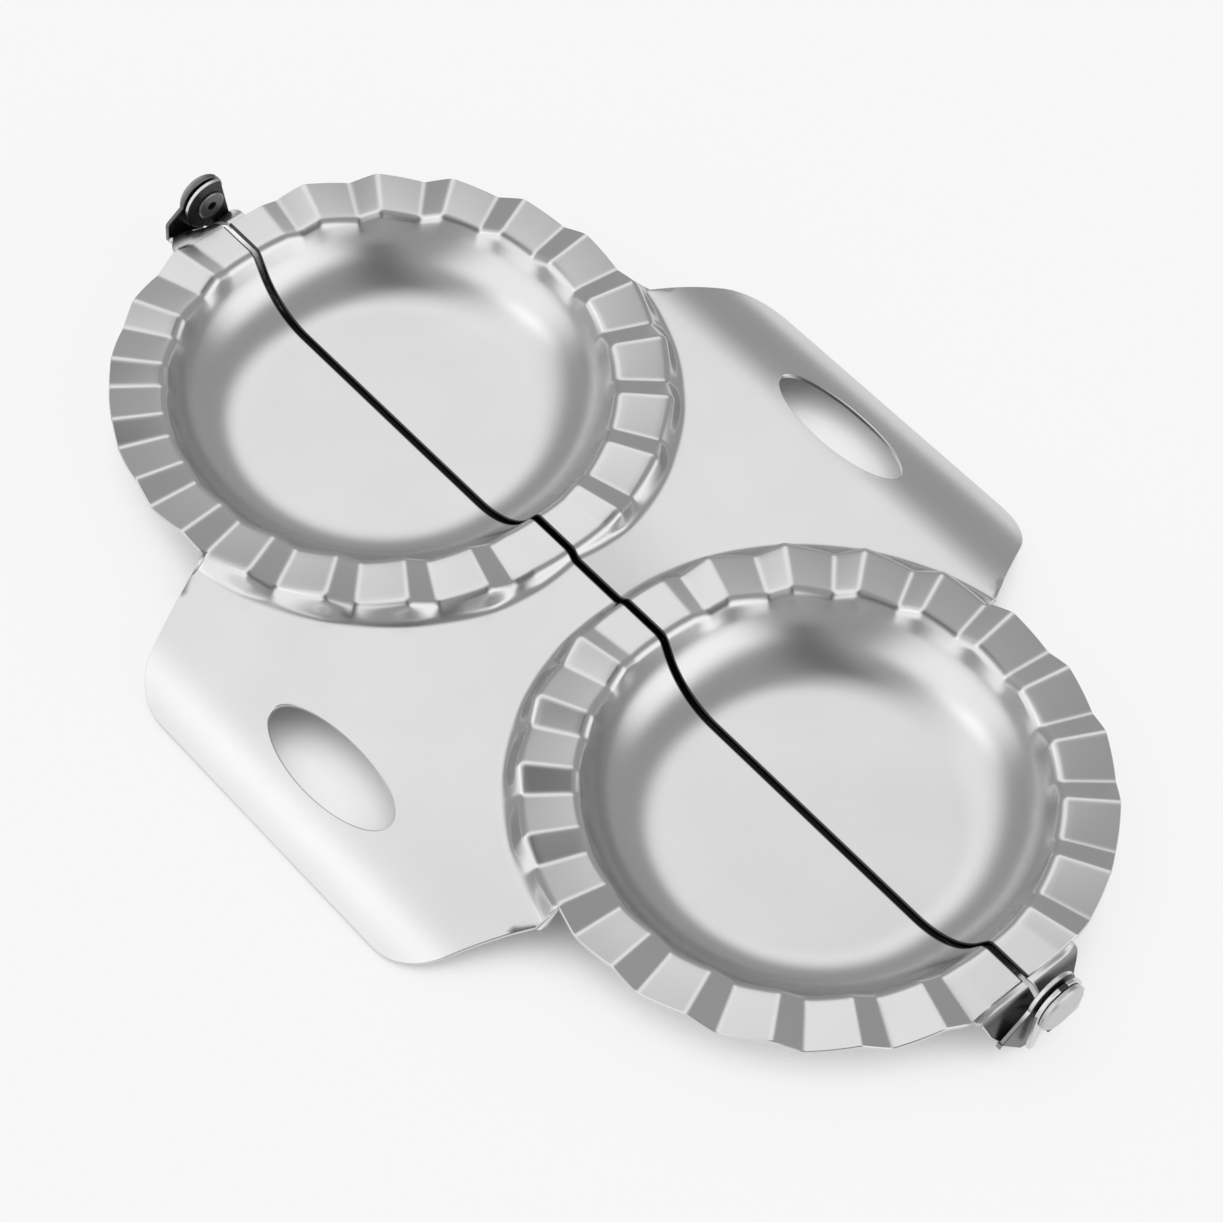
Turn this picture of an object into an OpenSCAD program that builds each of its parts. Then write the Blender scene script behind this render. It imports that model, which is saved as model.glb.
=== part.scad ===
// Double-head empanada press: two stamped sheet plates hinged edge to edge, lying open and flat.
// Each plate holds two half bowls with a crimped rim, a bent handle flange and two hinge ears.
// +Y runs along the hinge, +X across it, +Z up; the table is z = 0 and the pivots lie at x = 0.
// The right plate is drawn on +X; the left plate is the same stamping turned half a turn, but its
// ears are wide where the right plate's are narrow.

/* [Sheet] */
// Thickness of the stainless sheet
sheet_t = 0.8; // [0.6:0.1:1.2]
// Width of the slit between the open plates
slit_w = 1.0; // [0.6:0.1:1.6]

/* [Bowls] */
// Outer radius of the crimped rim
rim_r = 45; // [42:0.5:50]
// Width of the flat rim between the bowl's edge and its outer edge
rim_w = 7.9; // [6:0.1:10]
// Distance between the two bowl centres along the hinge
bowl_pitch = 102.6; // [101:0.5:115]
// Distance of the bowl centres from the hinge plane
bowl_inset = 1.4; // [1:0.1:3]
// Depth of the bowl floor below the rim
bowl_depth = 9.8; // [9:0.1:13]
// Radius of the curve between the floor and the wall
bowl_curve_r = 13; // [11:0.5:13]
// Slope of the bowl wall above the curve, in degrees
wall_slope = 60; // [56:1:62]
// Radius of the rounded top edge of the bowl
lip_r = 2; // [1.4:0.1:2.4]

/* [Crimp] */
// Number of steep crimp steps in each half rim
crimp_count = 10; // [8:1:11]
// Angle that a steep step takes
step_angle = 6; // [5:0.5:7]
// Angle of the plain stretch between the hinge plane and the first step
plain_angle = 12.1; // [11.9:0.1:13]
// Height of the crimp above and below the mean rim at the outer edge
crimp_h = 0.95; // [0.5:0.05:1.1]
// Height of the crimp above and below the mean rim at the bowl's edge
crimp_inner_h = 0.65; // [0.3:0.05:0.8]

/* [Handle flange] */
// Distance of the handle edge from the hinge plane
flange_reach = 67.2; // [65:0.2:72]
// Length of the straight handle edge between its corner curves
flange_straight = 52; // [40:1:56]
// Radius of the handle corners
flange_corner_r = 11; // [8:0.5:13]
// Length of the handle where it leaves the rims
flange_root_len = 85; // [80:1:88]
// Drop of the flange below the rim
flange_drop = 2.8; // [2.4:0.1:3.2]
// Drop of the sheet between the two bowls at the hinge plane
saddle_drop = 1.3; // [1.2:0.1:2]
// Distance from the hinge plane at which the flange starts to curl down
curl_start = 48; // [47.5:0.5:50]
// Distance of the middle of the finger hole from the hinge plane
hole_reach = 54.1; // [53:0.1:56]
// Length of the finger hole
hole_len = 27.8; // [22:0.2:32]
// Width of the finger hole
hole_w = 10.4; // [9:0.2:12]

/* [Hinge] */
// Height of the pivots above the rim
pivot_rise = 1.2; // [1.15:0.05:1.8]
// Radius of the round lugs
lug_r = 4.8; // [4.4:0.1:5]
// Radius of the skirts of the wide ears about the pivots
skirt_r = 10.5; // [9.5:0.1:11]
// Distance of a flat stretch of those skirts' edges from the pivots
skirt_flat = 9.55; // [9:0.05:9.9]
// Distance of the wide inner ear's far edge from the hinge plane
wide_inner_reach = 10.2; // [9:0.1:10.3]
// Distance of the wide outer ear's far edge from the hinge plane
wide_outer_reach = 8; // [7.4:0.1:9.4]
// Distance of the narrow inner ear's far edge from the hinge plane, at its foot
narrow_inner_reach = 4.1; // [4:0.1:4.6]
// Distance of the rear lugs' trimmed side from the hinge plane, at the height of the rim
lug_side = 3.3; // [3.3:0.1:4]
// Lean of that side towards the hinge plane, in degrees
lug_lean = 10; // [0:1:14]
// Distance of the narrow outer ear's far edge from the hinge plane
narrow_outer_reach = 6; // [5.7:0.1:6.6]
// Drop of the narrow ears below their bends
narrow_drop = 0.4; // [0.3:0.1:1]
// Length of the finger below the narrow outer ear's lug
finger_len = 8.3; // [7:0.1:9.5]
// Width of that finger at its foot
finger_w = 1.2; // [0.8:0.1:2]
// Radius of the bend from the rim to the inner ears
ear_bend_r = 4.5; // [3.8:0.1:4.8]
// Diameter of the rivet shank
shank_d = 3; // [2.6:0.1:3.6]
// Diameter of the rivet head
head_d = 8.5; // [7.5:0.1:9]
// Thickness of the rivet head
head_t = 1; // [0.8:0.1:1.6]
// Diameter of the rolled rivet tail
tail_d = 5.2; // [4.8:0.1:6]
// Thickness of the rolled rivet tail
tail_t = 0.4; // [0.3:0.1:0.8]
// Diameter of the hollow in the rivet tail
hollow_d = 1.7; // [1.2:0.1:2]
// Diameter of the washer between the ears
washer_d = 6.4; // [5.6:0.1:8.4]
// Thickness of the washer
washer_t = 0.4; // [0.3:0.1:0.8]
// Radial clearance of the shank in the ears
shank_clear = 0.05; // [0.03:0.01:0.1]
// Gap between faces of the hinge that turn on each other
face_gap = 0.1; // [0.05:0.05:0.2]

/* [Hidden] */
$fn = 96;
steel = "#b9babb";
rivet_steel = "#a3a4a6";
eps = 0.01;

// Heights: the rim's mean surface stands at z = 0 inside a plate and at rest_h above the table.
rest_h = bowl_depth + sheet_t;
slit = slit_w / 2;

over_slit = slit - 0.3;

// Bowl profile, from the floor outwards.
rim_in = rim_r - rim_w;
curve_z = bowl_curve_r - bowl_depth;
lip_start = [rim_in - lip_r * sin(wall_slope), lip_r * (cos(wall_slope) - 1)];
curve_end_z = curve_z - bowl_curve_r * cos(wall_slope);
floor_r = lip_start[0] - (lip_start[1] - curve_end_z) / tan(wall_slope)
        - bowl_curve_r * sin(wall_slope);
wall_overlap = 1.7;
embed_run = 2.1;

// Crimp: steep steps up and long gentle falls, the same forwards and backwards in the two plates,
// so that the rims mesh when the press is shut.
fall_angle = (180 - 2 * plain_angle - crimp_count * step_angle) / (crimp_count - 1);
crimp_pitch = step_angle + fall_angle;
plain_flat = plain_angle * 0.63;
fold_round = 0.7;

// Outer wall of the rim, where it steps down to the flange.
edge_r = 1.8;
edge_slope = 55;
foot_r = rim_r + 2.2;
flange_gap_r = rim_r + 1.5;

// Flange curl: a round arc whose lower edge comes down to the table at the flange's reach.
curl_tilt = 3;
curl_end = 50;
curl_run = flange_reach - curl_start;
curl_fall = rest_h - flange_drop;
curl_r = (curl_run * curl_run + curl_fall * curl_fall - sheet_t * sheet_t)
       / (2 * (curl_fall * cos(curl_tilt) - curl_run * sin(curl_tilt) - sheet_t));
curl_centre = [curl_start - curl_r * sin(curl_tilt), -flange_drop - curl_r * cos(curl_tilt)];
level_start = 18;

// Hinge stack, from the rim outwards along Y.
rim_end = bowl_pitch / 2 + rim_r;
bend_start = rim_end - 0.3;
inner_out = bend_start + ear_bend_r;
inner_in = inner_out - sheet_t;
washer_in = inner_out + face_gap;
outer_in = washer_in + washer_t + face_gap;
outer_out = outer_in + sheet_t;
head_in = outer_out + face_gap;
lug_relief = lug_r + 0.4;
relief_run = 1.1;
bend_root = 2;
bore_r = shank_d / 2 + shank_clear;

// How far a bend reaches along the rim more than its ear does.
wide_inner_flare = 0.4;
wide_outer_flare = 2.4;
narrow_inner_flare = 0;
narrow_outer_flare = 3.9;
flare_root = 0.3;
flare_share = 0.7;

// Heights of the wide ears' shoulders, and how their corners are cut.
wide_inner_shoulder = -1.4;
wide_outer_shoulder = 0.3;
shoulder_run = 0.8;
web_angle = 10;

// Direction in which the flat stretch of a skirt lies from the pivot, below the level.
skirt_tilt = 39.3;

// Crimp height as a share of its full height at an angle t clockwise from the plate's rear slit.
function fall(t) = 1 - 2 * (t - step_angle) / fall_angle;
function wave_in(t) = t < step_angle ? 2 * t / step_angle - 1 : fall(t);
function wave_core(t) = wave_in(t - floor(t / crimp_pitch) * crimp_pitch);
function wave(t) =
    t <= plain_flat || t >= 180 - plain_flat ? 0
    : t < plain_angle ? -(t - plain_flat) / (plain_angle - plain_flat)
    : t > 180 - plain_angle ? (180 - plain_flat - t) / (plain_angle - plain_flat)
    : wave_core(t - plain_angle);

// Crimp height in millimetres at radius r.
function crimp(r) = crimp_inner_h + (crimp_h - crimp_inner_h) * (r - rim_in) / rim_w;

// Top surface of the flange at a distance x from the hinge plane, short of the curl.
function flange_z(x) =
    x < level_start
    ? -saddle_drop - (flange_drop - saddle_drop) * x / level_start
    : -flange_drop;

// Angles at which the rim polyhedra have a section: the folds, a little rounded, and the mid falls.
function fold_stations(t) = [t - fold_round, t + fold_round];
all_stations = concat(
    [0, plain_flat],
    [for (i = [0 : crimp_count - 1])
        for (t = [plain_angle + i * crimp_pitch, plain_angle + i * crimp_pitch + step_angle])
            each fold_stations(t)],
    [for (i = [0 : crimp_count - 2]) plain_angle + step_angle + fall_angle / 2 + i * crimp_pitch],
    [180 - plain_flat, 180]);
function sorted(list) =
    len(list) < 2 ? list
    : let (p = list[floor(len(list) / 2)])
      concat(sorted([for (v = list) if (v < p) v]), [p], sorted([for (v = list) if (v > p) v]));
stations = sorted(all_stations);

// The free rim ends where the flange's side meets it.
free_end = 90 + asin((bowl_pitch / 2 - flange_root_len / 2) / (rim_r + 1.5));

// A section point: [radius, height, slope of the surface, share of the crimp, share of the drop].
lip_points = [
    [lip_start[0] - embed_run * cos(wall_slope), lip_start[1] - embed_run * sin(wall_slope),
        wall_slope, 0.1, 0],
    [lip_start[0], lip_start[1], wall_slope, 0.6, 0],
    [rim_in - lip_r * sin(28), -lip_r * (1 - cos(28)), 28, 0.9, 0],
    [rim_in, 0, 0, 1, 0]];
free_points = [
    [rim_r - 1, 0, 0, 1, 0],
    [rim_r - 0.5, 0, 0, 1, 0],
    [rim_r, 0, 0, 1, 0]];
wall_points = [
    [rim_r - 1, 0, 0, 1, 0],
    [rim_r - 1 + edge_r * sin(edge_slope), -edge_r * (1 - cos(edge_slope)), -edge_slope, 0.6, 0.1],
    [foot_r, 0, 0, 0, 1]];
rim_rows = concat(lip_points, free_points);
wall_rows = concat(lip_points, wall_points);
point_count = len(rim_rows);

// True where an angle lies on the flange's side of a half rim.
function walled(t, sgn) = sgn > 0 ? t > free_end : t < 180 - free_end;

// How deep below the top surface the strip starts and ends at a section point: the whole sheet,
// but only its middle where the strip runs into the bowl's wall or the flange.
function buried(i, side) = i == 0 || (side && i == point_count - 1);
function depths(i, side) = buried(i, side) ? [0.3 * sheet_t, 0.7 * sheet_t] : [0, sheet_t];

// The place of a section point at an angle t; the end rows move out to the slit.
function spot(i, t, sgn, face, shift) =
    let (side = walled(t, sgn))
    let (p = side ? wall_rows[i] : rim_rows[i])
    let (depth = depths(i, side)[face])
    let (r = p[0] + depth * sin(p[2]))
    let (x = bowl_inset + r * sin(t) - shift)
    let (level = p[4] * flange_z(max(x, 0)))
    [x, sgn * bowl_pitch / 2 + r * cos(t),
        p[1] + p[3] * wave(t) * crimp(p[0]) + level - depth * cos(p[2])];

// Crimped rim of one half bowl as a closed strip of sheet: a free edge on the ear's side and a
// stepped wall down to the flange on the other.
module crimped_rim(sgn) {
    turn = sgn > 0 ? free_end : 180 - free_end;
    angles = concat(
        [for (t = stations) if (t < turn - 1.2) t],
        [turn - 0.6, turn + 0.6],
        [for (t = stations) if (t > turn + 1.2) t]);
    rows = concat(
        [[angles[0], bowl_inset - over_slit]],
        [for (t = angles) [t, 0]],
        [[angles[len(angles) - 1], bowl_inset - over_slit]]);
    ring = 2 * point_count;
    verts = [for (row = rows) each concat(
        [for (i = [0 : point_count - 1]) spot(i, row[0], sgn, 0, row[1])],
        [for (i = [point_count - 1 : -1 : 0]) spot(i, row[0], sgn, 1, row[1])])];
    sides = [for (j = [0 : len(rows) - 2]) for (i = [0 : ring - 1])
        let (a = j * ring + i)
        let (b = j * ring + (i + 1) % ring)
        each [[a, b, b + ring], [a, b + ring, a + ring]]];
    last = (len(rows) - 1) * ring;
    caps = [[for (i = [ring - 1 : -1 : 0]) i], [for (i = [0 : ring - 1]) last + i]];
    polyhedron(verts, concat(sides, caps), convexity = 10);
}

// Section of the bowl's sheet from its centre to the top of the wall.
module bowl_section() {
    translate([0, -rest_h]) square([floor_r + eps, sheet_t]);
    intersection() {
        translate([floor_r, curve_z]) difference() {
            circle(r = bowl_curve_r + sheet_t);
            circle(r = bowl_curve_r);
        }
        translate([floor_r, curve_z]) polygon([
            [0, 0],
            [0, -2 * bowl_curve_r],
            [3 * bowl_curve_r * sin(wall_slope / 2), -3 * bowl_curve_r * cos(wall_slope / 2)],
            [2 * bowl_curve_r * sin(wall_slope), -2 * bowl_curve_r * cos(wall_slope)]]);
    }
    translate([floor_r + bowl_curve_r * sin(wall_slope), curve_end_z]) rotate(wall_slope)
        translate([0, -sheet_t]) square([wall_overlap, sheet_t]);
}

// Half bowl, as a whole dish: the slit cuts off its other side.
module dish() {
    translate([bowl_inset, 0, 0]) rotate_extrude() bowl_section();
}

// Plan of the handle flange, without the bowls: a trapezoid with two corners rounded off.
module flange_plan() {
    corner = [flange_reach - flange_corner_r, flange_straight / 2];
    root = [curl_start - 1, flange_root_len / 2];
    // The flange's sides leave the rims on a tangent to the corner curves.
    run = [corner[0] - root[0], root[1] - corner[1]];
    lean = atan2(run[1], run[0]) - asin(flange_corner_r / norm(run));
    tip_y = root[1] - (flange_reach - root[0]) * tan(lean);
    far = 2 * flange_corner_r;
    difference() {
        polygon([
            [over_slit, -root[1]], [root[0], -root[1]], [flange_reach, -tip_y],
            [flange_reach, tip_y], [root[0], root[1]], [over_slit, root[1]]]);
        for (side = [0, 1]) mirror([0, side]) translate(corner) difference() {
            polygon([[0, 0], [far, 0], [far, far], far * [sin(lean), cos(lean)]]);
            circle(r = flange_corner_r);
        }
    }
}

// Finger hole as an even-sided oval.
module hole_plan() {
    sides = 48;
    polygon([for (i = [0 : sides - 1])
        [hole_w / 2 * cos((i + 0.5) * 360 / sides), hole_len / 2 * sin((i + 0.5) * 360 / sides)]]);
}

// Sheet of the flange seen from its end: the stretch between the bowls, then the curl.
module flange_flat() {
    polygon([
        [0, -saddle_drop],
        [level_start, -flange_drop],
        [curl_start, -flange_drop],
        [curl_start - sheet_t * sin(curl_tilt), -flange_drop - sheet_t * cos(curl_tilt)],
        [level_start, -flange_drop - sheet_t * cos(curl_tilt)],
        [0, -saddle_drop - sheet_t]]);
}

module flange_curl() {
    translate(curl_centre) intersection() {
        difference() {
            circle(r = curl_r, $fn = 180);
            circle(r = curl_r - sheet_t, $fn = 180);
        }
        polygon([
            [0, 0],
            2 * curl_r * [sin(curl_tilt), cos(curl_tilt)],
            2 * curl_r * [sin(curl_end), cos(curl_end)]]);
    }
}

module flange_sheet() {
    translate([0, flange_root_len, 0]) rotate([90, 0, 0]) {
        linear_extrude(2 * flange_root_len) flange_flat();
        linear_extrude(2 * flange_root_len) flange_curl();
    }
}

module flange() {
    difference() {
        intersection() {
            flange_sheet();
            translate([0, 0, -2 * rest_h]) linear_extrude(3 * rest_h) flange_plan();
        }
        for (side = [-1, 1])
            translate([bowl_inset, side * bowl_pitch / 2, -rest_h])
                cylinder(r = flange_gap_r, h = 2 * rest_h, $fn = 180);
        translate([hole_reach, 0, -2 * rest_h]) linear_extrude(3 * rest_h) hole_plan();
    }
}

// Round lug about the pivot; on the ears at the rear, one side is trimmed along a leaning line.
module lug(trimmed) {
    intersection() {
        translate([0, pivot_rise]) circle(r = lug_r);
        if (trimmed) trimmed_side();
    }
}

module trimmed_side() {
    translate([lug_side, 0]) rotate(lug_lean)
        translate([-4 * lug_r, -4 * lug_r]) square([4 * lug_r, 8 * lug_r]);
}

// Inner side of the line on which the skirt's flat stretch lies.
module skirt_side() {
    translate([0, pivot_rise]) rotate(-skirt_tilt)
        translate([-2 * skirt_r, -2 * skirt_r]) square([2 * skirt_r + skirt_flat, 4 * skirt_r]);
}

// Outline of a wide ear in its own plane: lug, and a skirt on the plate's own side below a web
// with its shoulder at a given height.
module wide_outline(reach, shoulder, trimmed) {
    mirror([1, 0]) lug(trimmed);
    intersection() {
        translate([0, pivot_rise]) circle(r = skirt_r);
        skirt_side();
        polygon([
            [slit, pivot_rise],
            [lug_r * cos(web_angle), pivot_rise + lug_r * sin(web_angle)],
            [reach - shoulder_run, shoulder],
            [reach, shoulder - shoulder_run],
            [reach, -2 * skirt_r],
            [slit, -2 * skirt_r]]);
    }
}

// Outline of the narrow inner ear: lug and neck down to its bend, with one leaning side.
module narrow_inner_outline() {
    foot = bend_start - inner_out - narrow_drop;
    lug(true);
    intersection() {
        translate([-slit, foot]) square([slit + narrow_inner_reach, pivot_rise - foot]);
        trimmed_side();
    }
}

// Outline of the narrow outer ear: lug, neck, and a finger that hangs down on its other side.
module narrow_outer_outline() {
    foot = bend_start - outer_out - narrow_drop;
    reach = narrow_outer_reach;
    finger_tip = 0.6;
    finger_side = 0.2;
    lug(false);
    polygon([
        [-slit, pivot_rise],
        [-slit, foot],
        [reach, foot],
        [reach, -slit],
        [0.94 * lug_r, pivot_rise]]);
    translate([0, pivot_rise]) polygon([
        [-0.99 * lug_r, 0],
        [-lug_r + finger_side, -finger_len + finger_tip],
        [-lug_r + finger_side + finger_tip, -finger_len],
        [-lug_r + finger_w, -finger_len + finger_tip],
        [-lug_r / 2, -0.7 * lug_r],
        [0, 0]]);
}

// Sheet that bends from the rim down into the ear and tapers from the rim to the ear's reach.
module ear_bend(bend_r, reach, flare) {
    intersection() {
        translate([slit, 0, 0]) rotate([90, 0, 90]) linear_extrude(reach + flare - slit) {
            translate([bend_start - bend_root, -sheet_t]) square([bend_root + eps, sheet_t]);
            intersection() {
                translate([bend_start, -bend_r]) difference() {
                    circle(r = bend_r);
                    circle(r = bend_r - sheet_t);
                }
                translate([bend_start, -bend_r]) square(bend_r);
            }
        }
        translate([0, 0, -2 * bend_r]) linear_extrude(3 * bend_r) polygon([
            [slit, bend_start - bend_r],
            [reach + flare, bend_start - bend_r],
            [reach + flare, bend_start + flare_root],
            [reach, bend_start + flare_share * bend_r],
            [reach, bend_start + 2 * bend_r],
            [slit, bend_start + 2 * bend_r]]);
        translate([0, bend_start + 2 * bend_r, 0]) rotate([90, 0, 0])
            linear_extrude(4 * bend_r) skirt_side();
    }
}

// Whole ear on the plate's rear side: its outline is the child. The bends of the outer ears are
// open around the pivot, where the other plate's lug and the washer turn.
module ear(outer, reach, flare) {
    face_in = outer ? outer_in : inner_in;
    bend_r = face_in + sheet_t - bend_start;
    relief_start = inner_in - relief_run;
    translate([0, face_in + sheet_t, 0]) rotate([90, 0, 0]) linear_extrude(sheet_t) difference() {
        children();
        translate([0, pivot_rise]) circle(r = bore_r);
    }
    difference() {
        ear_bend(bend_r, reach, flare);
        if (outer)
            translate([0, face_in, pivot_rise]) rotate([90, 0, 0])
                cylinder(r = lug_relief, h = face_in - relief_start);
    }
}

// Dishes, crimped rims and flange, cut off along the slit.
module body() {
    difference() {
        union() {
            for (sgn = [-1, 1]) {
                translate([0, sgn * bowl_pitch / 2, 0]) dish();
                crimped_rim(sgn);
            }
            flange();
        }
        translate([slit - 2 * rim_r, -bowl_pitch, -2 * rest_h])
            cube([2 * rim_r, 2 * bowl_pitch, 4 * rest_h]);
    }
}

module left_plate() {
    color(steel) translate([0, 0, rest_h]) rotate([0, 0, 180]) {
        ear(false, wide_inner_reach, wide_inner_flare)
            wide_outline(wide_inner_reach, wide_inner_shoulder, false);
        mirror([0, 1, 0])
            ear(true, wide_outer_reach, wide_outer_flare)
                wide_outline(wide_outer_reach, wide_outer_shoulder, true);
        body();
    }
}

module right_plate() {
    color(steel) translate([0, 0, rest_h]) {
        body();
        ear(false, narrow_inner_reach, narrow_inner_flare) narrow_inner_outline();
        mirror([0, 1, 0])
            ear(true, narrow_outer_reach, narrow_outer_flare) narrow_outer_outline();
    }
}

// Half section of a rivet along its own axis: head, shank and rolled hollow tail.
module rivet_section() {
    length = head_in - inner_in;
    head_edge = 0.35;
    hollow_depth = 2.4;
    tail_in = face_gap / 2;
    polygon([
        [0, -length - tail_in - tail_t + hollow_depth],
        [hollow_d / 2, -length - tail_in - tail_t + hollow_depth],
        [hollow_d / 2, -length - tail_in - tail_t],
        [tail_d / 2 - tail_t / 2, -length - tail_in - tail_t],
        [tail_d / 2, -length - tail_in - tail_t / 2],
        [tail_d / 2, -length - tail_in],
        [shank_d / 2, -length - tail_in],
        [shank_d / 2, 0],
        [head_d / 2, 0],
        [head_d / 2, head_t - head_edge],
        [head_d / 2 - head_edge, head_t],
        [0, head_t]]);
}

module rivet() {
    color(rivet_steel) translate([0, head_in, rest_h + pivot_rise]) rotate([-90, 0, 0])
        rotate_extrude() rivet_section();
}

module washer() {
    color(rivet_steel) translate([0, washer_in + washer_t, rest_h + pivot_rise]) rotate([90, 0, 0])
        difference() {
            cylinder(d = washer_d, h = washer_t);
            translate([0, 0, -eps]) cylinder(r = bore_r, h = washer_t + 2 * eps);
        }
}

module front_rivet() {
    rotate([0, 0, 180]) rivet();
}

module rear_rivet() {
    rivet();
}

module front_washer() {
    rotate([0, 0, 180]) washer();
}

module rear_washer() {
    washer();
}

left_plate();
right_plate();
front_rivet();
rear_rivet();
front_washer();
rear_washer();
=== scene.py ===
import math

import bmesh
import bpy
from mathutils import Matrix, Vector
from mathutils.geometry import delaunay_2d_cdt


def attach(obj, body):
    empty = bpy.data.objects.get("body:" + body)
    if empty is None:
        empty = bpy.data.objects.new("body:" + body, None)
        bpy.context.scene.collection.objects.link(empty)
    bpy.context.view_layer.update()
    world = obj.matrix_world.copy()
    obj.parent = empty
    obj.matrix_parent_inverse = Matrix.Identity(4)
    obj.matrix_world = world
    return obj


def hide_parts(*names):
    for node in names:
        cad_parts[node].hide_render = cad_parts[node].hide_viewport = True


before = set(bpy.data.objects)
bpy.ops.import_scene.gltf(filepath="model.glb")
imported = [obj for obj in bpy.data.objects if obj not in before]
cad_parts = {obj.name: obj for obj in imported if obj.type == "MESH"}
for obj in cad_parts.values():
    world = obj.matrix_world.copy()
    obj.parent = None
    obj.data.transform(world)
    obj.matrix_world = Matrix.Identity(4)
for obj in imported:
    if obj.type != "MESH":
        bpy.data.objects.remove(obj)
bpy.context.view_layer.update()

MM = 0.001

# ---------------------------------------------------------------------------------------------
# Sizes, in millimetres, with z = 0 at the rims' mean surface
# ---------------------------------------------------------------------------------------------

SHEET = 0.8
SLIT = 0.5
RIM_R = 45.0
RIM_IN = 37.1
PITCH = 102.6
INSET = 1.4
DEPTH = 9.8
REST_H = DEPTH + SHEET
CURVE_R = 13.0
WALL_SLOPE = math.radians(60)
LIP_R = 2.0

CRIMPS = 10
PLAIN = 12.1
PLAIN_FLAT = PLAIN * 0.63
STEP = 6.0
FALL = (180 - 2 * PLAIN - CRIMPS * STEP) / (CRIMPS - 1)
CRIMP_H = 0.95
CRIMP_IN_H = 0.65
FOLD_SPREAD = 0.55

# Heights between which the crimp fades out down the bowl's wall, and shares of the drop between
# which it fades out down the rim's outer wall.
BOWL_FADE = (-3.4, -0.15)
WALL_FADE = (0.15, 0.95)
BULGE = 0.5

# Angle from the ears at which the rim's free edge ends, and where it is cut straight beside them.
WALL_START = 101.5
TRIM_Y = PITCH / 2 + RIM_R - 1.1

EDGE_R = 1.8
EDGE_SLOPE = math.radians(55)
WALL_TOP = RIM_R - 1
FOOT_R = 48.4

REACH = 67.2
STRAIGHT = 52.0
CORNER_R = 11.0
ROOT_X = 47.0
ROOT_Y = 42.5
DROP = 2.8
SADDLE = 1.3
LEVEL_X = 18.0
CURL_X = 48.0
CURL_TILT = math.radians(3)
HOLE_X = 54.1
HOLE_LEN = 27.8
HOLE_W = 10.4

# Hinge: each plate has an inner and an outer ear, wide on the left plate, narrow on the right.
PIVOT = 1.2
LUG_R = 4.8
SKIRT_R = 10.5
BORE_R = 1.55
BEND_START = PITCH / 2 + RIM_R - 0.3
INNER_FACE = BEND_START + 4.5
OUTER_FACE = INNER_FACE + 0.6 + SHEET
RELIEF_R = LUG_R + 0.4
RELIEF_Y = INNER_FACE - SHEET - 1.1
SKIRT_FLAT = 9.55
SKIRT_FLAT_TILT = 39.3
LUG_SIDE = 3.3
LUG_LEAN = 10.0
FINGER_LEN = 8.3
WEB_ANGLE = 10

# Reach of the ears from the hinge plane, how much further their bends reach along the rim, and
# the height of a wide ear's shoulder.
WIDE_INNER_REACH = 10.2
WIDE_INNER_FLARE = 0.4
WIDE_INNER_SHOULDER = -1.4
WIDE_OUTER_REACH = 8.0
WIDE_OUTER_FLARE = 2.4
WIDE_OUTER_SHOULDER = 0.3
NARROW_INNER_REACH = 4.1
NARROW_OUTER_REACH = 6.0
NARROW_OUTER_FLARE = 3.9
NARROW_DROP = 0.4

# Start and height of an ear's bend: at the front it first rises to a low crest.
RIM_EDGE_Z = -0.3
REAR_CREST = (BEND_START, RIM_EDGE_Z)
FRONT_CREST = (BEND_START + 0.4, 0.2)

# Power of a bend's curve, which is a quarter circle at 1 and a straight chamfer at 2, and how much
# less it is away from the slit.
BEND_POWER = 1.7
REAR_ROUNDING = 0.7
FRONT_ROUNDING = 0.175

# Mesh steps, and the spacing of the flange's inner points with the room they leave to its edges
ANGLE_STEP = 0.5
HOLE_SIDES = 96
CUT_ROUND = 0.12
GRID = 1.5
GRID_START = 1.6
GRID_ROOM = 0.55

# Angles in degrees over which an edge is left crisp.
PRESSING_SHARP = 40
EAR_SHARP = 35


# ---------------------------------------------------------------------------------------------
# The pressed surface
# ---------------------------------------------------------------------------------------------

def smooth(a, b, v):
    """0 before a, 1 after b, and an even S-curve between."""
    u = min(max((v - a) / (b - a), 0.0), 1.0)
    return u * u * (3 - 2 * u)


def zigzag(t):
    """The crimp's sharp-folded height, from -1 to 1, at t degrees clockwise along a half rim."""
    if t <= PLAIN_FLAT or t >= 180 - PLAIN_FLAT:
        return 0.0
    if t < PLAIN:
        return -(t - PLAIN_FLAT) / (PLAIN - PLAIN_FLAT)
    if t > 180 - PLAIN:
        return (180 - PLAIN_FLAT - t) / (PLAIN - PLAIN_FLAT)
    u = (t - PLAIN) % (STEP + FALL)
    if u < STEP:
        return 2 * u / STEP - 1
    return 1 - 2 * (u - STEP) / FALL


def wave(t):
    """The crimp's height with its folds rounded, by averaging over a short spread of angles."""
    weights = ((-1.0, 1), (-0.5, 2), (0.0, 2), (0.5, 2), (1.0, 1))
    return sum(w * zigzag(t + s * FOLD_SPREAD) for s, w in weights) / sum(w for _, w in weights)


def crimp(r):
    """Height of the crimp above and below the mean rim at a radius."""
    return CRIMP_IN_H + (CRIMP_H - CRIMP_IN_H) * (r - RIM_IN) / (RIM_R - RIM_IN)


# The flange's curl: a round arc whose lower edge comes down to the table at the flange's reach.
CURL_RUN = REACH - CURL_X
CURL_FALL = REST_H - DROP
CURL_R = ((CURL_RUN ** 2 + CURL_FALL ** 2 - SHEET ** 2)
          / (2 * (CURL_FALL * math.cos(CURL_TILT) - CURL_RUN * math.sin(CURL_TILT) - SHEET)))


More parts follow.
